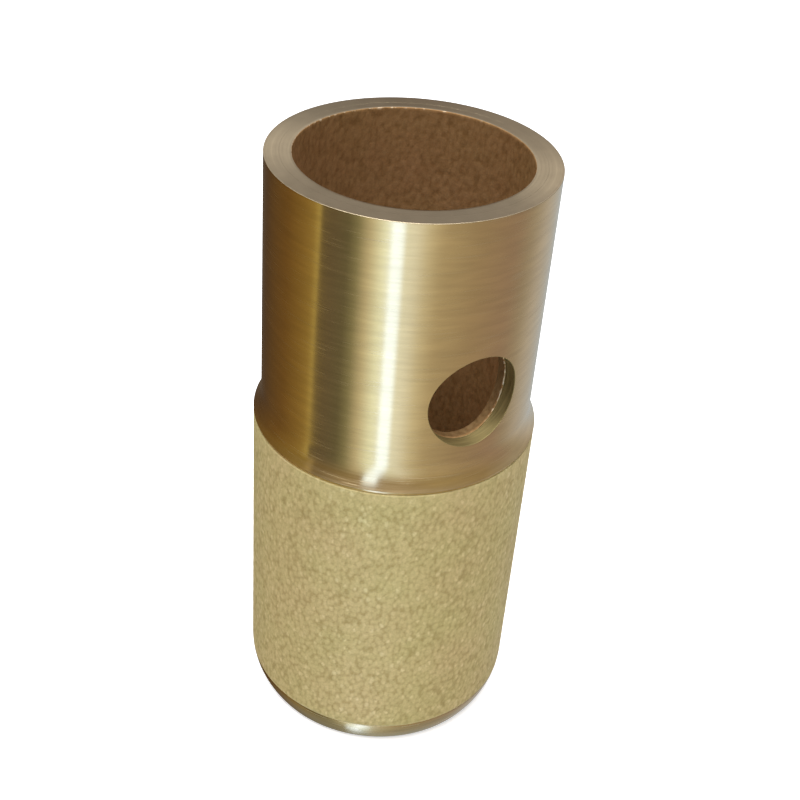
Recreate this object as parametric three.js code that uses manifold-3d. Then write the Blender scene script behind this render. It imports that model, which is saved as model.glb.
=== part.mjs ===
// Pneumatic muffler: a turned brass sleeve pressed over the thin spigot of a porous sintered-bronze
// body, whose lower end is closed by a pressed-in brass disc. Compressed air enters at the mouth and
// leaves through the porous wall below the sleeve.
// Millimetres, +Z up. The origin is the centre of the bottom face and the mouth faces +Z. The cross
// hole in the sleeve faces -Y.
import * as THREE from 'three';
import { mergeVertices } from 'three/addons/utils/BufferGeometryUtils.js';
import Module from 'manifold-3d';

const wasm = await Module();
wasm.setup();

// Overall sizes
const OVERALL_LENGTH = 66.2;
const BODY_RADIUS = 15.1;
const BORE_RADIUS = 11.6;

// Sleeve
const SLEEVE_LENGTH = 29.4;
const SLEEVE_RADIUS = 14.3;
const SLEEVE_BORE_RADIUS = 12.8;
const FOOT_RIM_HEIGHT = 0.4;
const RUN_OUT_RADIUS = 5.5;
const EDGE_BREAK = 0.15;

// Cross hole through the sleeve and the spigot
const CROSS_HOLE_RADIUS = 5;
const CROSS_HOLE_DEPTH = 19.7; // from the mouth down to the hole's centre
const DRILL_OVERRUN = 3; // how far the cutting cylinder starts outside the body

// The rounded lower edge, turned across the body and the end disc in one pass
const BASE_SWEEP_RADIUS = 7.4;
const BASE_SWEEP_HEIGHT = 4.2;

// End disc
const DISC_RIM_HEIGHT = 3.3;
const DISC_PLUG_LENGTH = 3.6;
const DISC_PLUG_CHAMFER = 0.5;

// Each press fit keeps this much radial room, so that no two solids share volume.
const FIT_ROOM = 0.05;

// Facets
const TURN_SEGMENTS = 96;
const HOLE_SEGMENTS = 64;
const RUN_OUT_STEPS = 6;
const BASE_SWEEP_STEPS = 5;

// Worked out from the sizes above
const LIP_Z = OVERALL_LENGTH - SLEEVE_LENGTH;
const HOLE_Z = OVERALL_LENGTH - CROSS_HOLE_DEPTH;

const brass = { color: 0xb99c62, roughness: 0.32, metalness: 1 };
const sinteredBronze = { color: 0xb5a673, roughness: 0.75, metalness: 0.6 };

// A piece turned on a lathe about Z. The outline is a list of [radius, height] pairs that goes
// upwards along the outside. A ring's outline closes on itself.
function turned(outline) {
  const points = outline.map(([radius, height]) => new THREE.Vector2(radius, height));
  return new THREE.LatheGeometry(points, TURN_SEGMENTS).rotateX(Math.PI / 2);
}

function toSolid(geometry) {
  const bare = geometry.clone();
  bare.deleteAttribute('normal');
  bare.deleteAttribute('uv');
  const merged = mergeVertices(bare);
  return new wasm.Manifold(new wasm.Mesh({
    numProp: 3,
    vertProperties: new Float32Array(merged.attributes.position.array),
    triVerts: new Uint32Array(merged.index.array),
  }));
}

function toGeometry(solid) {
  const { vertProperties, triVerts } = solid.getMesh();
  const geometry = new THREE.BufferGeometry();
  geometry.setAttribute('position', new THREE.BufferAttribute(vertProperties, 3));
  geometry.setIndex(new THREE.BufferAttribute(triVerts, 1));
  return geometry;
}

// Cuts the cross hole through the -Y wall of a turned piece.
function withCrossHole(geometry) {
  const drillLength = BODY_RADIUS + DRILL_OVERRUN;
  const drill = new THREE.CylinderGeometry(CROSS_HOLE_RADIUS, CROSS_HOLE_RADIUS, drillLength, HOLE_SEGMENTS);
  drill.translate(0, -drillLength / 2, HOLE_Z);
  return toGeometry(toSolid(geometry).subtract(toSolid(drill)));
}

function named(name, geometry, look) {
  const mesh = new THREE.Mesh(geometry, new THREE.MeshStandardMaterial(look));
  mesh.name = name;
  return mesh;
}

// The concave sweep that the turning tool leaves between the sleeve's outside and its wider foot,
// from the foot's rim up to where it meets the sleeve's side.
function runOut() {
  const rimTop = LIP_Z + FOOT_RIM_HEIGHT;
  const flare = BODY_RADIUS - SLEEVE_RADIUS;
  const sweep = Math.acos((RUN_OUT_RADIUS - flare) / RUN_OUT_RADIUS);
  const centreHeight = rimTop + RUN_OUT_RADIUS * Math.sin(sweep);
  const centreRadius = SLEEVE_RADIUS + RUN_OUT_RADIUS;
  const points = [];
  for (let step = 0; step <= RUN_OUT_STEPS; step += 1) {
    const angle = sweep * (1 - step / RUN_OUT_STEPS);
    points.push([
      centreRadius - RUN_OUT_RADIUS * Math.cos(angle),
      centreHeight - RUN_OUT_RADIUS * Math.sin(angle),
    ]);
  }
  return points;
}

// The stretch of the rounded lower edge between two heights, going up.
function baseSweep(bottom, top, steps) {
  const points = [];
  for (let step = 0; step <= steps; step += 1) {
    const height = bottom + (top - bottom) * step / steps;
    const below = BASE_SWEEP_HEIGHT - height;
    const inset = BASE_SWEEP_RADIUS - Math.sqrt(BASE_SWEEP_RADIUS ** 2 - below ** 2);
    points.push([BODY_RADIUS - inset, height]);
  }
  return points;
}

function mountingSleeve() {
  const outline = [
    [SLEEVE_BORE_RADIUS, LIP_Z],
    [BODY_RADIUS - EDGE_BREAK, LIP_Z],
    [BODY_RADIUS, LIP_Z + EDGE_BREAK],
    ...runOut(),
    [SLEEVE_RADIUS, OVERALL_LENGTH - EDGE_BREAK],
    [SLEEVE_RADIUS - EDGE_BREAK, OVERALL_LENGTH],
    [SLEEVE_BORE_RADIUS, OVERALL_LENGTH],
    [SLEEVE_BORE_RADIUS, LIP_Z],
  ];
  return named('mounting_sleeve', withCrossHole(turned(outline)), brass);
}

function porousBody() {
  const spigotRadius = SLEEVE_BORE_RADIUS - FIT_ROOM;
  const outline = [
    [BORE_RADIUS, DISC_RIM_HEIGHT],
    ...baseSweep(DISC_RIM_HEIGHT, BASE_SWEEP_HEIGHT, 1),
    [BODY_RADIUS, LIP_Z],
    [spigotRadius, LIP_Z],
    [spigotRadius, OVERALL_LENGTH],
    [BORE_RADIUS, OVERALL_LENGTH],
    [BORE_RADIUS, DISC_RIM_HEIGHT],
  ];
  return named('porous_body', withCrossHole(turned(outline)), sinteredBronze);
}

function endDisc() {
  const plugRadius = BORE_RADIUS - FIT_ROOM;
  const plugTop = DISC_RIM_HEIGHT + DISC_PLUG_LENGTH;
  const outline = [
    [0, 0],
    ...baseSweep(0, DISC_RIM_HEIGHT, BASE_SWEEP_STEPS),
    [plugRadius, DISC_RIM_HEIGHT],
    [plugRadius, plugTop - DISC_PLUG_CHAMFER],
    [plugRadius - DISC_PLUG_CHAMFER, plugTop],
    [0, plugTop],
  ];
  return named('end_disc', turned(outline), brass);
}

const muffler = new THREE.Group();
muffler.add(mountingSleeve(), porousBody(), endDisc());

export default muffler;
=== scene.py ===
"""A sintered-bronze pneumatic muffler, on a pale floor in soft studio light.

Three pieces stand for the three CAD nodes: a turned brass sleeve, a porous body of bronze grains and
a turned brass end disc. Sizes are read from the CAD frame, but for the grains and the small edges.
Metres, +Z up, the axis is Z, and the cross hole faces -Y.
"""

import math

import bpy
import numpy as np
from mathutils import Matrix, Vector


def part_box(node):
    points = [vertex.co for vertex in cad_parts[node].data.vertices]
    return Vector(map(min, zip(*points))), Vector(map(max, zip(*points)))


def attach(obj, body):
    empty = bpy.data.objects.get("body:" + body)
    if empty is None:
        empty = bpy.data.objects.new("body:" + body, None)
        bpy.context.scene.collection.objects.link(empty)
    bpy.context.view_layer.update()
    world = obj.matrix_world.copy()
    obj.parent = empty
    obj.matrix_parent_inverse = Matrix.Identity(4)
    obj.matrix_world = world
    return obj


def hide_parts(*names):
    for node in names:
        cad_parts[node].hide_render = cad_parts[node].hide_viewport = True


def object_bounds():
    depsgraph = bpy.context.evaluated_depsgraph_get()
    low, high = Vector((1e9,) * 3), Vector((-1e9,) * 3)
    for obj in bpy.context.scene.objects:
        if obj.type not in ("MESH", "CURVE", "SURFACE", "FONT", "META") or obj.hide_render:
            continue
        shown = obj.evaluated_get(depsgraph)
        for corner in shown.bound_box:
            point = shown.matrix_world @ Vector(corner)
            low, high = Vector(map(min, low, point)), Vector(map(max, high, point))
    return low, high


MM = 0.001
NEAR = 0.01 * MM  # a corner that is closer than this to a wall or a height is on it

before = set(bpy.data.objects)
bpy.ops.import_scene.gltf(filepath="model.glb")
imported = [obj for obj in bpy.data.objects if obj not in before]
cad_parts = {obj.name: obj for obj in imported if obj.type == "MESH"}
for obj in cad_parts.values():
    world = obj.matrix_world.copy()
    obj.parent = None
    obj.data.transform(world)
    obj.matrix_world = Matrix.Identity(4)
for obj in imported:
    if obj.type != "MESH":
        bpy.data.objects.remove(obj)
cad_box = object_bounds()


# ---------------------------------------------------------------- sizes, from the frame


def corners(node):
    """Every corner of a CAD node's mesh, one row each."""
    return np.array([vertex.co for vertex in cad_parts[node].data.vertices])


def radii(points):
    """How far each point is from the axis."""
    return np.hypot(points[:, 0], points[:, 1])


def radii_at(node, height):
    """The least and greatest distance from the axis among a node's corners at one height."""
    points = corners(node)
    level = points[np.abs(points[:, 2] - height) < NEAR]
    return radii(level).min(), radii(level).max()


def arc_radius(length, inset):
    """The radius of an arc that starts along a straight wall and, over length, bends inset from it."""
    return (length**2 + inset**2) / (2 * inset)


TOP = cad_box[1].z
BODY_RADIUS = cad_box[1].x
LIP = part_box("mounting_sleeve")[0].z
DISC_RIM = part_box("porous_body")[0].z
PLUG_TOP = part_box("end_disc")[1].z
SLEEVE_BORE = radii_at("mounting_sleeve", TOP)[0]
BORE, SPIGOT = radii_at("porous_body", TOP)
DISC_BASE = radii_at("end_disc", 0)[1]
PLUG_RADIUS = BORE - (SLEEVE_BORE - SPIGOT)

# The only corners on the sleeve's straight wall, between its run-out and its top edge, are the
# cross hole's.
sleeve_corners = corners("mounting_sleeve")
sleeve_heights = sleeve_corners[:, 2]
wall_corners = sleeve_corners[(sleeve_heights > LIP + 4 * MM) & (sleeve_heights < TOP - MM)]
SLEEVE_RADIUS = radii(wall_corners).max()
HOLE_RADIUS = np.ptp(wall_corners[:, 2]) / 2
HOLE_Z = wall_corners[:, 2].min() + HOLE_RADIUS

# The sleeve's foot has a low upright rim. Above it a hollow sweep, the run-out, leads to the wall.
RIM_TOP = sleeve_heights[radii(sleeve_corners) > BODY_RADIUS - NEAR].max()
RUN_OUT_TOP = sleeve_heights[np.abs(radii(sleeve_corners) - SLEEVE_RADIUS) < NEAR].min()
RUN_OUT_RADIUS = arc_radius(RUN_OUT_TOP - RIM_TOP, BODY_RADIUS - SLEEVE_RADIUS)

# The lower edge of the body and the disc is one round sweep, which starts level with SWEEP_TOP.
body_corners = corners("porous_body")
SWEEP_TOP = body_corners[radii(body_corners) > BODY_RADIUS - NEAR, 2].min()
SWEEP_RADIUS = arc_radius(SWEEP_TOP, BODY_RADIUS - DISC_BASE)


# ---------------------------------------------------------------- mesh building


class Shell:
    """The corners and faces of one closed piece, built from rings of corners."""

    def __init__(self):
        self.points = []
        self.normals = []
        self.faces = []
        self.finishes = []
        self.finish = 0  # which of the piece's materials the next faces take
        self.count = 0

    def add(self, points, normals):
        """Adds corners with their outward directions, and returns their numbers."""
        self.points.append(np.asarray(points, float))
        self.normals.append(np.asarray(normals, float))
        numbers = np.arange(self.count, self.count + len(points))
        self.count += len(points)
        return numbers

    def cover(self, *columns):
        """Adds faces, given the numbers of their first corners, their second corners and so on."""
        self.faces.append(np.stack(columns, axis=1))
        self.finishes.append(np.full(len(columns[0]), self.finish))

    def bridge(self, ring, following, keep=slice(None)):
        """Four-sided faces between two closed rings of the same length."""
        quads = (ring, np.roll(ring, -1), np.roll(following, -1), following)
        self.cover(*(corner[keep] for corner in quads))

    def extend(self, ring, points, normals):
        """Adds a ring with faces from the ring before it, and returns its numbers."""
        following = self.add(points, normals)
        self.bridge(ring, following)
        return following

    def halve(self, ring, following):
        """Faces between a ring and a following ring with half as many corners."""
        even, odd, after = ring[0::2], ring[1::2], np.roll(ring, -2)[0::2]
        ahead = np.roll(following, -1)
        self.cover(even, odd, following)
        self.cover(odd, after, ahead)
        self.cover(odd, ahead, following)

    def double(self, ring, following):
        """Faces between a ring and a following ring with twice as many corners."""
        even, odd, after = following[0::2], following[1::2], np.roll(following, -2)[0::2]
        ahead = np.roll(ring, -1)
        self.cover(ring, odd, even)
        self.cover(ahead, after, odd)
        self.cover(ring, ahead, odd)

    def cap(self, ring, point, normal):
        """A fan of triangles from a closed ring to one corner."""
        middle = np.full(len(ring), self.add([point], [normal])[0])
        self.cover(ring, np.roll(ring, -1), middle)

    def data(self):
        """Every corner so far, and its outward direction, one row each."""
        return np.concatenate(self.points), np.concatenate(self.normals)


def turned_ring(shell, radius, height, tilt, columns):
    """One ring about Z. tilt is how far its outward direction leans up from level, in degrees."""
    angles = -math.pi / 2 + 2 * math.pi * np.arange(columns) / columns
    across = np.stack([np.cos(angles), np.sin(angles), np.zeros(columns)], axis=1)
    lean = math.radians(tilt)
    points = across * radius + np.array([0, 0, height])
    normals = across * math.cos(lean) + np.array([0, 0, math.sin(lean)])
    return shell.add(points, normals)


def turned_skin(shell, ring, outline, columns):
    """Rings through the outline's (radius, height, tilt), each with faces from the one before, the
    first from ring. Returns the last."""
    for radius, height, tilt in outline:
        following = turned_ring(shell, radius, height, tilt, columns)
        shell.bridge(ring, following)
        ring = following
    return ring


class Window:
    """A square window in a turned wall, in the middle of which the cross hole is drilled."""

    def __init__(self, columns, half_columns, rows):
        self.columns = columns
        self.half_columns = half_columns
        angle = 2 * math.pi * half_columns / columns
        self.half_height = SLEEVE_RADIUS * math.sin(angle)
        self.heights = HOLE_Z + np.linspace(-self.half_height, self.half_height, rows + 1)

    def kept(self):
        """Which faces of a row stay where the window is open."""
        column = np.arange(self.columns)
        return (column >= self.half_columns) & (column < self.columns - self.half_columns)

    def loop(self, rings_upwards):
        """The numbers round the window's edge, anticlockwise as seen from outside."""
        half = self.half_columns
        across = np.arange(-half, half + 1)
        bottom, top = rings_upwards[0], rings_upwards[-1]
        right = [ring[half] for ring in rings_upwards[1:-1]]
        left = [ring[-half] for ring in rings_upwards[1:-1]]
        return np.concatenate([bottom[across], right, top[across[::-1]], left[::-1]]).astype(int)


def wall(shell, radius, heights, side, window):
    """Rings of a straight wall, at heights in the order given, with faces between them except in
    the window. side is 1 for an outside wall and -1 for a bore. Returns the rings."""
    tilt = 0 if side > 0 else 180
    rings = [turned_ring(shell, radius, height, tilt, window.columns) for height in heights]
    low, high = window.heights[0], window.heights[-1]
    for k in range(len(rings) - 1):
        middle = (heights[k] + heights[k + 1]) / 2
        shell.bridge(rings[k], rings[k + 1], window.kept() if low < middle < high else slice(None))
    return rings


def window_edge(window, rings, heights):
    """The window's edge in a wall whose rings, going up or down, are at these heights."""
    low, high = window.heights[0] - NEAR, window.heights[-1] + NEAR
    inside = [ring for ring, height in zip(rings, heights) if low < height < high]
    return window.loop(inside if heights[-1] > heights[0] else inside[::-1])


def with_window_heights(low, high, step, window):
    """Heights from low to high about a step apart, with the window's own between its edges."""
    bottom, top = window.heights[0], window.heights[-1]
    below = np.linspace(low, bottom, max(2, round((bottom - low) / step)))
    above = np.linspace(top, high, max(2, round((high - top) / step)))
    return np.concatenate([below[:-1], window.heights, above[1:]])


def drill(shell, outer, inner, edge, blend_rings, finishes):
    """The skin of the cross hole: from the window in the outside wall, over a rounded edge, through
    the wall, over another edge and out to the window in the bore. outer and inner are each window's
    loop and the radius of its wall. finishes are those of the outside, the hole and the bore."""
    outer_loop, outer_radius = outer
    inner_loop, inner_radius = inner
    edge_steps, wall_steps = 4, 6
    points, _ = shell.data()
    start, end = points[outer_loop], points[inner_loop]
    bearing = np.arctan2(start[:, 2] - HOLE_Z, start[:, 0])
    toward = np.stack([np.cos(bearing), np.zeros(len(bearing)), np.sin(bearing)], axis=1)

    def on_wall(x, z, radius):
        return np.stack([x, -np.sqrt(radius**2 - x**2), z], axis=1)

    def radial(at):
        flat = at * np.array([1, 1, 0])
        return flat / np.linalg.norm(flat, axis=1)[:, None]

    def blended(loop, radius, share):
        """A ring on a wall, a share of the way from the window's edge to the hole's."""
        away = (HOLE_RADIUS + edge) * share
        x = loop[:, 0] * (1 - share) + away * toward[:, 0]
        z = loop[:, 2] * (1 - share) + HOLE_Z * share + away * toward[:, 2]
        return on_wall(x, z, radius)

    def round_hole(away, depth):
        """A ring at a distance from the hole's axis, on a wall of radius depth."""
        return on_wall(away * toward[:, 0], HOLE_Z + away * toward[:, 2], depth)

    def round_over(ring, radius, side, turns):
        """Rings over the edge of the outside wall, where side is 1, or of the bore, where it is -1."""
        for turn in turns:
            away = HOLE_RADIUS + edge * (1 - math.sin(turn))
            at = round_hole(away, radius - side * edge * (1 - math.cos(turn)))
            normal = side * radial(at) * math.cos(turn) - toward * math.sin(turn)
            ring = shell.extend(ring, at, normal)
        return ring

    shares = np.sin(np.linspace(0, math.pi / 2, blend_rings + 1))[1:]
    turns = np.linspace(0, math.pi / 2, edge_steps + 1)
    ring = outer_loop
    shell.finish = finishes[0]
    for share in shares:
        at = blended(start, outer_radius, share)
        ring = shell.extend(ring, at, radial(at))

    shell.finish = finishes[1]
    ring = round_over(ring, outer_radius, 1, turns[1:])
    for depth in np.linspace(outer_radius - edge, inner_radius + edge, wall_steps + 1)[1:-1]:
        ring = shell.extend(ring, round_hole(HOLE_RADIUS, depth), -toward)
    ring = round_over(ring, inner_radius, -1, turns[::-1])

    shell.finish = finishes[2]
    for share in shares[-2::-1]:
        at = blended(end, inner_radius, share)
        ring = shell.extend(ring, at, -radial(at))
    shell.bridge(ring, inner_loop)


def make_piece(name, shell, materials, points=None, flat_finish=-1):
    """A mesh object from a shell, shaded by the shell's own directions. Where the corners are moved,
    to points, it is shaded by its faces instead, smoothly but for the faces of the flat finish."""
    base, normals = shell.data()
    points = base if points is None else points
    mesh = bpy.data.meshes.new(name)
    faces = [face for block in shell.faces for face in block.tolist()]
    mesh.from_pydata(points.tolist(), [], faces)
    finishes = np.concatenate(shell.finishes)
    mesh.polygons.foreach_set("use_smooth", finishes != flat_finish)
    mesh.polygons.foreach_set("material_index", finishes.astype(np.int32))
    if points is base:
        unit = normals / np.linalg.norm(normals, axis=1)[:, None]
        mesh.normals_split_custom_set_from_vertices(unit.tolist())
    for material in materials:
        mesh.materials.append(material)
    piece = bpy.data.objects.new(name, mesh)
    bpy.context.scene.collection.objects.link(piece)
    return piece


def set_shares(piece, **shares):
    """Stores a number for each corner, by name, for the piece's material to read."""
    for name, values in shares.items():
        attribute = piece.data.attributes.new(name, "FLOAT", "POINT")
        attribute.data.foreach_set("value", np.asarray(values, np.float32))


# ---------------------------------------------------------------- the grains


GRAIN_PITCH = np.array([0.41, 0.41, 0.60]) * MM  # the grains are a little taller than wide
GRAIN_RELIEF = 0.05 * MM  # from a grain's top to the bottom of the gaps round it


class Grains:
    """A packed bed of grains: one centre at a random place in each cell of a lattice."""

    def __init__(self, pitch, seed):
        self.pitch = pitch
        self.low = np.array(cad_box[0]) - 3 * pitch
        size = np.ceil((np.array(cad_box[1]) - self.low) / pitch).astype(int) + 4
        random = np.random.default_rng(seed)
        self.jitter = random.random((*size, 3))
        self.tone = random.random(size)

    def at(self, points):
        """For each point: how far down it is, from 0 on a grain's top to 1 in a deep gap, and the
        tone of the grain it belongs to, from 0 to 1."""
        place = (points - self.low) / self.pitch
        cell = np.floor(place).astype(int)
        nearest = np.full(len(points), np.inf)
        tone = np.zeros(len(points))
        for step in np.ndindex(3, 3, 3):
            near = cell + np.array(step) - 1
            index = (near[:, 0], near[:, 1], near[:, 2])
            distance = np.linalg.norm(near + self.jitter[index] - place, axis=1)
            closer = distance < nearest
            nearest[closer] = distance[closer]
            tone[closer] = self.tone[index][closer]
        return np.clip(nearest, 0, 1) ** 2, tone


# ---------------------------------------------------------------- materials


class Nodes:
    """A short way to add and join shader nodes."""

    def __init__(self, tree):
        self.tree = tree
        tree.nodes.clear()

    def add(self, kind, inputs=(), **settings):
        """A node whose inputs are set to values, or joined where they are sockets."""
        node = self.tree.nodes.new("ShaderNode" + kind)
        for key, value in settings.items():
            setattr(node, key, value)
        for key, value in dict(inputs).items():
            if isinstance(value, bpy.types.NodeSocket):
                self.tree.links.new(value, node.inputs[key])
            else:
                node.inputs[key].default_value = value
        return node

    def math(self, operation, *values):
        return self.add("Math", dict(enumerate(values)), operation=operation).outputs[0]

    def ramp(self, factor, stops):
        """A colour ramp with (position, colour) stops."""
        node = self.add("ValToRGB", {"Fac": factor})
        elements = node.color_ramp.elements
        elements[0].position, elements[0].color = stops[0][0], (*stops[0][1], 1)
        elements[-1].position, elements[-1].color = stops[-1][0], (*stops[-1][1], 1)
        for position, colour in stops[1:-1]:
            elements.new(position).color = (*colour, 1)
        return node.outputs[0]

    def spread(self, value, low, high, to_low=0.0, to_high=1.0):
        """value, moved from the range low to high onto the range to_low to to_high, and kept in it."""
        names = ("Value", "From Min", "From Max", "To Min", "To Max")
        return self.add("MapRange", dict(zip(names, (value, low, high, to_low, to_high)))).outputs[0]

    def noise(self, vector, scale, detail):
        return self.add("TexNoise", {"Vector": vector, "Scale": scale, "Detail": detail}).outputs[0]

    def mix(self, factor, first, second, blend="MIX"):
        """A mix of two colours, the node's sockets 6 and 7."""
        inputs = {"Factor": factor, 6: first, 7: second}
        return self.add("Mix", inputs, data_type="RGBA", blend_type=blend).outputs[2]

    def share(self, name):
        """A number that the mesh stores for each corner."""
        return self.add("Attribute", attribute_name=name).outputs["Fac"]

    def bump(self, height, strength, distance):
        inputs = {"Height": height, "Strength": strength, "Distance": distance}
        return self.add("Bump", inputs).outputs[0]

    def metal(self, colour, roughness, normal, settings):
        """The material's surface."""
        inputs = {"Base Color": colour, "Roughness": roughness, "Normal": normal, **settings}
        shader = self.add("BsdfPrincipled", inputs)
        self.add("OutputMaterial", {"Surface": shader.outputs[0]})


def new_material(name):
    material = bpy.data.materials.new(name)
    material.use_nodes = True
    return material, Nodes(material.node_tree)


def turned_brass():
    """Brass off the lathe: fine rings round the axis that blur reflections along the axis only."""
    material, nodes = new_material("turned_brass")
    place = nodes.add("TexCoord").outputs["Object"]
    x, y, z = nodes.add("SeparateXYZ", {0: place}).outputs

    def rings(around_scale, along_scale, detail):
        """Noise that changes slowly round the axis and fast along it."""
        stretched = nodes.add("CombineXYZ", {
            0: nodes.math("MULTIPLY", x, around_scale),
            1: nodes.math("MULTIPLY", y, around_scale),
            2: nodes.math("MULTIPLY", z, along_scale),
        }).outputs[0]
        return nodes.noise(stretched, 1.0, detail)

    fine = rings(60, 6000, 2.0)
    coarse = rings(25, 1300, 1.0)
    scratches = nodes.spread(rings(250, 9000, 0.0), 0.68, 0.80)
    clouds = nodes.noise(place, 160, 3.0)
    colour = nodes.ramp(clouds, [(0.3, (0.85, 0.638, 0.34)), (0.7, (0.915, 0.682, 0.362))])
    marks = nodes.ramp(rings(260, 1900, 1.0), [(0.3, (0.89, 0.89, 0.90)), (0.7, (1.0, 1.0, 1.0))])
    colour = nodes.mix(1.0, colour, marks, "MULTIPLY")
    colour = nodes.mix(nodes.math("MULTIPLY", scratches, 0.12), colour, (0.95, 0.84, 0.62, 1))
    polish = nodes.spread(fine, 0.3, 0.7, 0.17, 0.22)
    roughness = nodes.math("ADD", polish, nodes.math("MULTIPLY", scratches, 0.1))
    height = nodes.math("ADD", fine, nodes.math("MULTIPLY", coarse, 1.5))
    height = nodes.math("SUBTRACT", height, nodes.math("MULTIPLY", scratches, 0.3))
    nodes.metal(colour, roughness, nodes.bump(height, 0.3, 0.004 * MM), {
        "Metallic": 1.0,
        "Anisotropic": 0.95,
        "Anisotropic Rotation": 0.25,
        "Tangent": nodes.add("Tangent", direction_type="RADIAL", axis="Z").outputs[0],
    })
    return material


def faced_brass():
    """Flat ends, and the bore and plug inside the joints: cut dull, with faint rings round the axis,
    along which reflections are blurred."""
    material, nodes = new_material("faced_brass")
    place = nodes.add("TexCoord").outputs["Object"]
    x, y, z = nodes.add("SeparateXYZ", {0: place}).outputs
    squares = [nodes.math("MULTIPLY", side, side) for side in (x, y)]
    radius = nodes.math("SQRT", nodes.math("ADD", *squares))
    rings = nodes.noise(nodes.add("CombineXYZ", {0: radius, 1: z}).outputs[0], 5000, 2.0)
    clouds = nodes.noise(place, 500, 3.0)
    colour = nodes.ramp(clouds, [(0.3, (0.50, 0.405, 0.265)), (0.7, (0.56, 0.455, 0.30))])
    roughness = nodes.spread(rings, 0.3, 0.7, 0.28, 0.36)
    nodes.metal(colour, roughness, nodes.bump(rings, 0.25, 0.01 * MM), {
        "Metallic": 1.0,
        "Anisotropic": 0.7,
        "Tangent": nodes.add("Tangent", direction_type="RADIAL", axis="Z").outputs[0],
    })
    return material


def drilled_brass():
    """The wall of the cross hole: darker, scored by the drill round the hole's own axis, Y."""
    material, nodes = new_material("drilled_brass")
    place = nodes.add("TexCoord").outputs["Object"]
    stretched = nodes.add("Mapping", {"Vector": place, "Scale": (300, 5000, 300)}).outputs[0]
    score = nodes.noise(stretched, 1.0, 2.0)
    colour = nodes.ramp(score, [(0.35, (0.26, 0.205, 0.08)), (0.65, (0.39, 0.315, 0.135))])
    roughness = nodes.spread(score, 0.3, 0.7, 0.5, 0.6)
    nodes.metal(colour, roughness, nodes.bump(score, 0.5, 0.02 * MM), {"Metallic": 0.8})
    return material


def sintered_bronze():
    """Bronze grains. Each has its own tone. The gaps between them are painted darker and browner as
    painted shade, the bore darker and browner still as painted shade for the deep bore, and the
    wall that the drill cut darkest, as painted shade in the hole."""
    material, nodes = new_material("sintered_bronze")
    place = nodes.add("TexCoord").outputs["Object"]
    tone = nodes.share("grain_tone")
    grit = nodes.noise(place, 5000, 2.0)
    clouds = nodes.noise(place, 130, 3.0)
    outside = nodes.ramp(tone, [
        (0.0, (0.56, 0.465, 0.22)),
        (0.2, (0.62, 0.52, 0.255)),
        (0.9, (0.67, 0.565, 0.29)),
        (1.0, (0.73, 0.625, 0.335)),
    ])
    # Painted shade for the deep bore: where inside is set, the grains are painted darker and browner.
    bore = nodes.ramp(tone, [(0.0, (0.41, 0.23, 0.093)), (1.0, (0.49, 0.29, 0.13))])
    colour = nodes.mix(nodes.share("inside"), outside, bore)
    # Painted shade in the gaps between the grains: the deeper a corner lies, the darker and browner it
    # is painted.
    painted_gap_shade = nodes.mix(1.0, colour, (0.79, 0.755, 0.67, 1), "MULTIPLY")
    colour = nodes.mix(nodes.spread(nodes.share("grain_depth"), 0.15, 0.6), colour, painted_gap_shade)
    # Painted shade in the hole: the wall that the drill cut through the spigot is painted darker
    # still.
    cut = nodes.mix(1.0, colour, (0.66, 0.70, 0.70, 1), "MULTIPLY")
    colour = nodes.mix(nodes.share("cut"), colour, cut)
    speckle = nodes.ramp(grit, [(0.3, (0.84, 0.84, 0.81)), (0.7, (1.0, 1.0, 1.0))])
    colour = nodes.mix(1.0, colour, speckle, "MULTIPLY")
    tint = nodes.ramp(clouds, [(0.3, (0.96, 0.98, 0.92)), (0.7, (1.0, 0.96, 0.97))])
    colour = nodes.mix(1.0, colour, tint, "MULTIPLY")
    # On an edge that a tool cut, some grains are polished smooth and painted bright, as painted
    # highlights: more of them where rim is higher.
    rim = nodes.share("rim")
    dots = nodes.math("ADD", nodes.noise(place, 1800, 1.0), nodes.math("MULTIPLY", rim, 0.24))
    painted_glint = nodes.math("MULTIPLY", rim, nodes.spread(dots, 0.67, 0.80))
    colour = nodes.mix(painted_glint, colour, (0.97, 0.84, 0.60, 1))
    roughness = nodes.spread(tone, 0.85, 1.0, 0.70, 0.55)
    roughness = nodes.math("SUBTRACT", roughness, nodes.math("MULTIPLY", painted_glint, 0.42))
    nodes.metal(colour, roughness, nodes.bump(grit, 0.4, 0.03 * MM), {"Metallic": 0.6})
    return material


# ---------------------------------------------------------------- the pieces


TOP_EDGE = 0.05 * MM  # the radius of the sleeve's rounded top edge
JOINT_GAP = 0.01 * MM  # between the skins of two pieces that meet
COLUMNS = 360  # corners in one ring
WINDOW = Window(COLUMNS, half_columns=30, rows=36)
TURNED_BRASS = turned_brass()
FACED_BRASS = faced_brass()


def run_out(steps):
    """The hollow sweep between the foot's rim and the sleeve's side, as (radius, height, tilt)."""
    curve = RUN_OUT_RADIUS
    sweep = math.acos((curve - (BODY_RADIUS - SLEEVE_RADIUS)) / curve)
    for k in range(steps + 1):
        turn = sweep * (1 - k / steps)
        radius = SLEEVE_RADIUS + curve - curve * math.cos(turn)
        height = RIM_TOP + curve * (math.sin(sweep) - math.sin(turn))
        yield radius, height, math.degrees(turn)


def rounded(radius, height, size, first, last, steps):
    """A rounded edge about its centre, as (radius, height, tilt), from one tilt to another."""
    for k in range(steps + 1):
        tilt = first + (last - first) * k / steps
        lean = math.radians(tilt)
        yield radius + size * math.cos(lean), height + size * math.sin(lean), tilt


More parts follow.
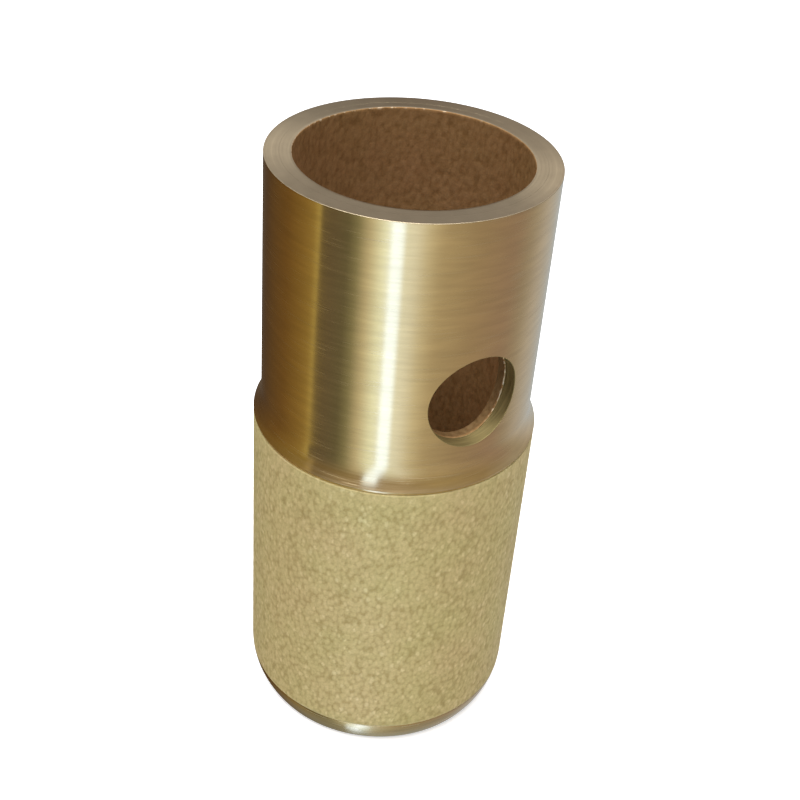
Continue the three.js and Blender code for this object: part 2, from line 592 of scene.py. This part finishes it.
def mounting_sleeve():
    """The sleeve, from the joint's lower end out over the lip, up the outside, over the mouth's face
    and back down the joint."""
    turned, faced, drilled = 0, 1, 2
    shell = Shell()
    foot_round, foot_taper, foot_tilt = 0.08 * MM, 0.1 * MM, -18
    crest = 0.02 * MM  # how narrow the edge between the rim and the run-out is
    corner = BODY_RADIUS - foot_taper - foot_round
    foot = list(rounded(corner, LIP + foot_round, foot_round, -90, foot_tilt, 4))
    foot.append((BODY_RADIUS, RIM_TOP - crest, foot_tilt))
    start = turned_ring(shell, SLEEVE_BORE, LIP, -90, COLUMNS)
    ring = turned_skin(shell, start, [*foot, *run_out(14)], COLUMNS)

    # Here and below, an end height that has its ring already is left out.
    heights = with_window_heights(RUN_OUT_TOP, TOP - TOP_EDGE, 1.0 * MM, WINDOW)
    outside = wall(shell, SLEEVE_RADIUS, heights[1:], 1, WINDOW)
    shell.bridge(ring, outside[0])
    outer_loop = window_edge(WINDOW, outside, heights[1:])

    over = list(rounded(SLEEVE_RADIUS - TOP_EDGE, TOP - TOP_EDGE, TOP_EDGE, 0, 90, 4))[1:]
    over += [(SLEEVE_BORE, TOP, 90), (SLEEVE_BORE, TOP - JOINT_GAP, 180)]
    shell.finish = faced
    ring = turned_skin(shell, outside[-1], over, COLUMNS)

    heights = with_window_heights(LIP, TOP - JOINT_GAP, 2.0 * MM, WINDOW)[::-1]
    inside = wall(shell, SLEEVE_BORE, heights[1:-1], -1, WINDOW)
    shell.bridge(ring, inside[0])
    inner_loop = window_edge(WINDOW, inside, heights[1:-1])
    shell.bridge(inside[-1], start)

    outer, inner = (outer_loop, SLEEVE_RADIUS), (inner_loop, SLEEVE_BORE)
    hole_edge = 0.06 * MM
    drill(shell, outer, inner, hole_edge, 10, (turned, drilled, faced))
    return make_piece("mounting_sleeve_turned", shell, [TURNED_BRASS, FACED_BRASS, drilled_brass()])


def sweep_at(height):
    """The radius and the tilt of the round lower edge at a height."""
    below = max(SWEEP_TOP - height, 0)
    radius = BODY_RADIUS - SWEEP_RADIUS + math.sqrt(SWEEP_RADIUS**2 - below**2)
    return radius, -math.degrees(math.asin(below / SWEEP_RADIUS))


def porous_body():
    """The grainy body and spigot. The grains stand out on the outside, in the bore and in the hole,
    and the mouth's face is cut flat."""
    grainy, faced = 0, 1
    shell = Shell()
    fine = 2 * COLUMNS
    outer_row, bore_row = 0.18 * MM, 0.23 * MM  # how far apart the rings of a grainy wall are
    top = LIP - 0.02 * MM  # just clear of the sleeve's foot
    sunk = 0.01 * MM  # the sleeve's lip and the disc stand this far out of the body
    outline = []
    for height in np.linspace(DISC_RIM, top, round((LIP - DISC_RIM) / outer_row) + 1):
        radius, tilt = sweep_at(height)
        outline.append((radius - sunk, height, tilt))
    outline.append((BODY_RADIUS - 1 * MM, top, 90))
    start = turned_ring(shell, *outline[0], fine)
    shoulder = turned_skin(shell, start, outline[1:], fine)
    neck = turned_ring(shell, SPIGOT, top, 90, COLUMNS)
    shell.halve(shoulder, neck)

    heights = with_window_heights(LIP, TOP - TOP_EDGE, 1.0 * MM, WINDOW)
    spigot = wall(shell, SPIGOT, heights[1:], 1, WINDOW)
    shell.bridge(neck, spigot[0])
    outer_loop = window_edge(WINDOW, spigot, heights[1:])

    # In the mouth's face the spigot closes up to the sleeve. The face's inner edge is broken.
    rim_drop = 0.1 * MM
    over = [(SLEEVE_BORE - JOINT_GAP, TOP - JOINT_GAP, 0), (SLEEVE_BORE - JOINT_GAP, TOP, 90)]
    over += [(radius, TOP, 90) for radius in np.linspace(SPIGOT, BORE + 0.25 * MM, 5)]
    over += [(BORE + 0.05 * MM, TOP - 0.02 * MM, 115)]
    shell.finish = faced
    ring = turned_skin(shell, spigot[-1], over, COLUMNS)
    shell.finish = grainy
    ring = turned_skin(shell, ring, [(BORE, TOP - rim_drop, 150)], COLUMNS)

    heights = with_window_heights(DISC_RIM, TOP - rim_drop, bore_row, WINDOW)[::-1]
    bore = wall(shell, BORE, heights[1:], -1, WINDOW)
    shell.bridge(ring, bore[0])
    inner_loop = window_edge(WINDOW, bore, heights[1:])
    shell.double(bore[-1], start)
    hole_edge = 0.12 * MM
    drill(shell, (outer_loop, SPIGOT), (inner_loop, BORE), hole_edge, 9, (grainy, grainy, grainy))

    # How deep the gaps between the grains are at each corner: not at all on the faced rim, in the
    # joint and at the disc, and less just under the sleeve, where the outside is burnished.
    base, normals = shell.data()
    depth, tone = Grains(GRAIN_PITCH, 7).at(base)
    around, (x, y, z) = radii(base), base.T
    in_joint = (around > SPIGOT - NEAR) & (z > LIP - 0.1 * MM)
    below_rim = 1 - np.clip((z - (TOP - rim_drop)) / rim_drop, 0, 1)
    above_disc = np.clip((z - DISC_RIM) / (0.3 * MM), 0, 1)
    burnished = np.clip((LIP - z) / (2.0 * MM), 0.6, 1)
    amount = np.where(in_joint, 0, 1) * below_rim * above_disc
    amount = np.where(around > SPIGOT, amount * burnished, amount)
    unit = normals / np.linalg.norm(normals, axis=1)[:, None]
    points = base - unit * (GRAIN_RELIEF * depth * amount)[:, None]
    materials = [sintered_bronze(), FACED_BRASS]
    piece = make_piece("porous_body_grains", shell, materials, points, flat_finish=faced)

    # inside marks the bore and the hole, which the material paints darker and browner as painted
    # shade.
    inside = around < SPIGOT - NEAR
    from_hole = np.hypot(x, z - HOLE_Z)
    at_hole = inside & (y < 0) & (from_hole < HOLE_RADIUS + hole_edge + NEAR)
    at_outer_edge = around > SPIGOT - hole_edge - NEAR
    # The drilled wall of the hole in the spigot, which the material paints darker as painted shade.
    cut = at_hole & (around > BORE + 0.05 * MM) & ~at_outer_edge

    # Cut edges are polished smooth and carry painted highlights, bright dots where the light catches
    # them:
    #  on the mouth's inner edge, more of them at the back, and on the hole's outer edge on its right.
    at_mouth = (around < BORE + 0.12 * MM) & (z > TOP - 0.2 * MM)
    to_back = (0.97 * y - 0.24 * x) / BORE
    to_right = (0.94 * x + 0.34 * (z - HOLE_Z)) / HOLE_RADIUS
    rim = np.where(at_mouth, 0.2 + 0.4 * np.clip(to_back, 0, 1), 0)
    rim = np.where(at_hole & at_outer_edge, np.clip(1.3 * to_right, 0, 1), rim)
    set_shares(piece, grain_tone=tone, grain_depth=depth * amount, inside=inside, cut=cut, rim=rim)
    return piece


def end_disc():
    """The disc, from a small hollow in the middle of its base out and up its round edge, then over
    the plug that is pressed into the bore."""
    turned, faced = 0, 1
    shell = Shell()
    edge = 0.12 * MM
    hollow, hollow_depth = 0.7 * MM, 0.3 * MM
    chamfer = 0.5 * MM
    rim_face = DISC_RIM - JOINT_GAP
    base = [(hollow * 0.5, 0.25 * MM, -75), (hollow, 0.06 * MM, -70), (hollow * 1.25, 0, -90)]
    base += [(radius, 0, -90) for radius in np.linspace(2 * MM, DISC_BASE - 2 * edge, 6)]
    base += [(DISC_BASE - edge, 0.01 * MM, -80), (DISC_BASE - edge / 4, 0.1 * MM, -55)]
    side = []
    for height in np.linspace(0.3 * MM, DISC_RIM - 0.1 * MM, 12):
        radius, tilt = sweep_at(height)
        side.append((radius, height, tilt))
    top = [
        (BODY_RADIUS - edge, DISC_RIM - 0.03 * MM, 30),
        (BODY_RADIUS - 0.3 * MM, rim_face, 90),
        (PLUG_RADIUS, rim_face, 45),
        (PLUG_RADIUS, PLUG_TOP - chamfer, 20),
        (PLUG_RADIUS - chamfer, PLUG_TOP, 70),
    ]
    top += [(radius, PLUG_TOP, 90) for radius in np.linspace(PLUG_RADIUS - 0.8 * MM, 1 * MM, 4)]
    outline = [
        *((row, faced) for row in base),
        *((row, turned) for row in side),
        *((row, faced) for row in top),
    ]
    rings = [turned_ring(shell, *row, COLUMNS) for row, _ in outline]
    for ring, following, (_, finish) in zip(rings, rings[1:], outline):
        shell.finish = finish
        shell.bridge(ring, following)
    shell.finish = faced
    shell.cap(rings[0][::-1], (0, 0, hollow_depth), (0, 0, -1))
    shell.cap(rings[-1], (0, 0, PLUG_TOP), (0, 0, 1))
    return make_piece("end_disc_turned", shell, [TURNED_BRASS, FACED_BRASS])


for piece, node, slot in (
    (mounting_sleeve(), "mounting_sleeve", "machined_brass"),
    (porous_body(), "porous_body", "sintered_bronze"),
    (end_disc(), "end_disc", "machined_brass"),
):
    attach(piece, "root")
    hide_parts(node)


# ---------------------------------------------------------------- camera


CAMERA_AZIMUTH = -33.5
CAMERA_PITCH = 34.68
CAMERA_TURN = 0.27
CAMERA_ROLL = 4.70
CAMERA_BACK = 7.916 * SLEEVE_RADIUS
CAMERA_ABOVE_MOUTH = 3.495 * SLEEVE_RADIUS
CAMERA_LENS = 57.7

camera = bpy.data.objects.new("camera", bpy.data.cameras.new("camera"))
bpy.context.scene.collection.objects.link(camera)
camera.data.lens = CAMERA_LENS
camera.data.clip_start = 0.005
camera.matrix_world = (
    Matrix.Rotation(math.radians(CAMERA_AZIMUTH), 4, "Z")
    @ Matrix.Translation((0, -CAMERA_BACK, TOP + CAMERA_ABOVE_MOUTH))
    @ Matrix.Rotation(math.radians(-CAMERA_TURN), 4, "Z")
    @ Matrix.Rotation(math.radians(90 - CAMERA_PITCH), 4, "X")
    @ Matrix.Rotation(math.radians(CAMERA_ROLL), 4, "Z")
)
bpy.context.scene.camera = camera


# ---------------------------------------------------------------- floor and light


def pale_floor():
    """A square floor with the object in its middle."""
    material, nodes = new_material("pale_floor")
    shader = nodes.add("BsdfDiffuse", {"Color": (0.9, 0.9, 0.9, 1)})
    glow = nodes.add("Emission", {"Color": (1, 1, 1, 1), "Strength": 0.5})  # keeps the shadow pale
    both = nodes.add("AddShader", {0: shader.outputs[0], 1: glow.outputs[0]})
    nodes.add("OutputMaterial", {"Surface": both.outputs[0]})
    mesh = bpy.data.meshes.new("floor")
    half = 0.9
    edge = [(-half, -half, 0), (half, -half, 0), (half, half, 0), (-half, half, 0)]
    mesh.from_pydata(edge, [], [(0, 1, 2, 3)])
    mesh.materials.append(material)
    floor = bpy.data.objects.new("floor", mesh)
    bpy.context.scene.collection.objects.link(floor)
    floor.visible_glossy = False


# What the object's upright sides mirror, as (degrees to the right of the camera, colour): a warm
# wall on the left that ends at a dark flag, the pale glow round the strip light just left of the
# camera, a tan wall on the right, and a window behind on the right.
AROUND = [
    (-180, (0.12, 0.11, 0.10)),
    (-145, (0.08, 0.05, 0.03)),
    (-106, (0.16, 0.095, 0.03)),
    (-88, (0.24, 0.165, 0.05)),
    (-78, (0.31, 0.235, 0.075)),
    (-72.5, (0.49, 0.43, 0.165)),
    (-70.5, (0.11, 0.095, 0.065)),
    (-59, (0.12, 0.105, 0.075)),
    (-47.5, (0.115, 0.115, 0.073)),
    (-39.5, (0.235, 0.25, 0.165)),
    (-30, (0.60, 0.615, 0.52)),
    (-19, (0.92, 1.14, 1.18)),
    (3, (0.87, 1.03, 1.20)),
    (15, (0.62, 0.64, 0.57)),
    (26, (0.46, 0.43, 0.34)),
    (55, (0.36, 0.31, 0.25)),
    (90, (0.31, 0.25, 0.24)),
    (107, (0.34, 0.33, 0.31)),
    (124, (0.48, 0.49, 0.54)),
    (170, (0.50, 0.60, 0.70)),
    (180, (0.35, 0.38, 0.42)),
]

# Higher up there is a brown wall, on which the warm wall's bright edge carries on, and above that the
# pale upper part of the room, brightest behind on the right. The pale floor shows in what faces down.
BROWN_WALL = [
    (-180, (0.13, 0.09, 0.06)),
    (-95, (0.18, 0.12, 0.035)),
    (-59, (0.26, 0.20, 0.06)),
    (-56, (0.39, 0.325, 0.16)),
    (-54, (0.37, 0.305, 0.15)),
    (-51, (0.17, 0.13, 0.06)),
    (-20, (0.205, 0.16, 0.072)),
    (8, (0.27, 0.21, 0.11)),
    (45, (0.35, 0.30, 0.175)),
    (80, (0.30, 0.25, 0.16)),
    (110, (0.36, 0.36, 0.36)),
    (155, (0.38, 0.34, 0.30)),
    (180, (0.17, 0.13, 0.10)),
]
UPPER_ROOM = [
    (-180, (0.40, 0.38, 0.38)),
    (-172, (0.48, 0.48, 0.51)),
    (-150, (0.55, 0.57, 0.59)),
    (-115, (0.40, 0.41, 0.46)),
    (115, (0.40, 0.41, 0.46)),
    (150, (0.55, 0.57, 0.59)),
    (167, (0.90, 0.90, 0.92)),
    (174, (0.90, 0.90, 0.92)),
    (180, (0.40, 0.38, 0.38)),
]
FLOOR_GLOW = (0.30, 0.34, 0.31, 1)
STRIP_LIGHT = (1.30, 1.80, 2.90, 1)
STRIP_BEARING = -7  # its middle, in degrees to the right of the camera

# Where each starts and is full, as the height of a direction: -1 is straight down and 1 straight up.
BROWN_WALL_FOOT = (-0.22, -0.08)
UPPER_ROOM_FOOT = (0.34, 0.46)
FLOOR_FADE = (-0.80, -0.94)
STRIP_TOP = (0.25, 0.1)
STRIP_WIDENS = (-0.86, -0.96)
STRIP_TURNS = (-0.92, -0.99)


def surroundings():
    """The room that the brass mirrors. To the camera itself it is plain white."""
    world = bpy.data.worlds.new("surroundings")
    bpy.context.scene.world = world
    world.use_nodes = True
    nodes = Nodes(world.node_tree)
    direction = nodes.add("TexCoord").outputs["Generated"]
    x, y, z = nodes.add("SeparateXYZ", {0: direction}).outputs
    bearing = nodes.math("DIVIDE", nodes.math("ARCTAN2", y, x), 2 * math.pi)

    def leaning(low, high, degrees):
        """The bearing, from 0 to 1, with 0.5 towards the camera. Going up from low to high, what
        stands there leans left by degrees, or right where they are negative."""
        lean = nodes.spread(z, low, high, 0.0, degrees / 360)
        turn = nodes.math("ADD", nodes.math("ADD", bearing, lean), 1.75 - CAMERA_AZIMUTH / 360)
        return nodes.math("FRACT", turn)

    def painted(place, rows):
        return nodes.ramp(place, [((degrees + 180) / 360, colour) for degrees, colour in rows])

    around = leaning(-0.45, 0.0, 7)
    level = painted(leaning(-0.52, -0.28, -6), AROUND)
    colour = nodes.mix(nodes.spread(z, *BROWN_WALL_FOOT), level, painted(around, BROWN_WALL))
    colour = nodes.mix(nodes.spread(z, *UPPER_ROOM_FOOT), colour, painted(around, UPPER_ROOM))
    colour = nodes.mix(nodes.spread(z, *FLOOR_FADE, 0.0, 0.65), colour, FLOOR_GLOW)

    # The strip light is full as far as core from its middle and ends at reach. Low down it turns
    # left and widens.
    to_left = nodes.spread(z, *STRIP_TURNS, 0.0, 34 / 360)
    from_middle = nodes.math("SUBTRACT", around, (STRIP_BEARING + 180) / 360)
    off_middle = nodes.math("ABSOLUTE", nodes.math("ADD", from_middle, to_left))
    reach = nodes.spread(z, *STRIP_WIDENS, 6.5 / 360, 16 / 360)
    core = nodes.spread(z, *STRIP_WIDENS, 3.5 / 360, 10 / 360)
    across, along = nodes.spread(off_middle, reach, core), nodes.spread(z, *STRIP_TOP)
    colour = nodes.mix(nodes.math("MULTIPLY", across, along), colour, STRIP_LIGHT)
    seen = nodes.add("LightPath").outputs["Is Camera Ray"]
    colour = nodes.mix(seen, colour, (1, 1, 1, 1))
    background = nodes.add("Background", {"Color": colour})
    nodes.add("OutputWorld", {"Surface": background.outputs[0]})


def softbox(name, place, size, power):
    """A square white lamp that points at the middle of the floor."""
    light = bpy.data.lights.new(name, "AREA")
    light.shape = "SQUARE"
    light.size = size
    light.energy = power
    lamp = bpy.data.objects.new(name, light)
    lamp.location = place
    lamp.rotation_euler = (-Vector(place)).to_track_quat("-Z", "Y").to_euler()
    lamp.visible_camera = False
    bpy.context.scene.collection.objects.link(lamp)


pale_floor()
surroundings()
softbox("overhead", place=(-0.15, -0.085, 0.86), size=0.7, power=12.0)

bpy.context.scene.view_settings.view_transform = "Standard"
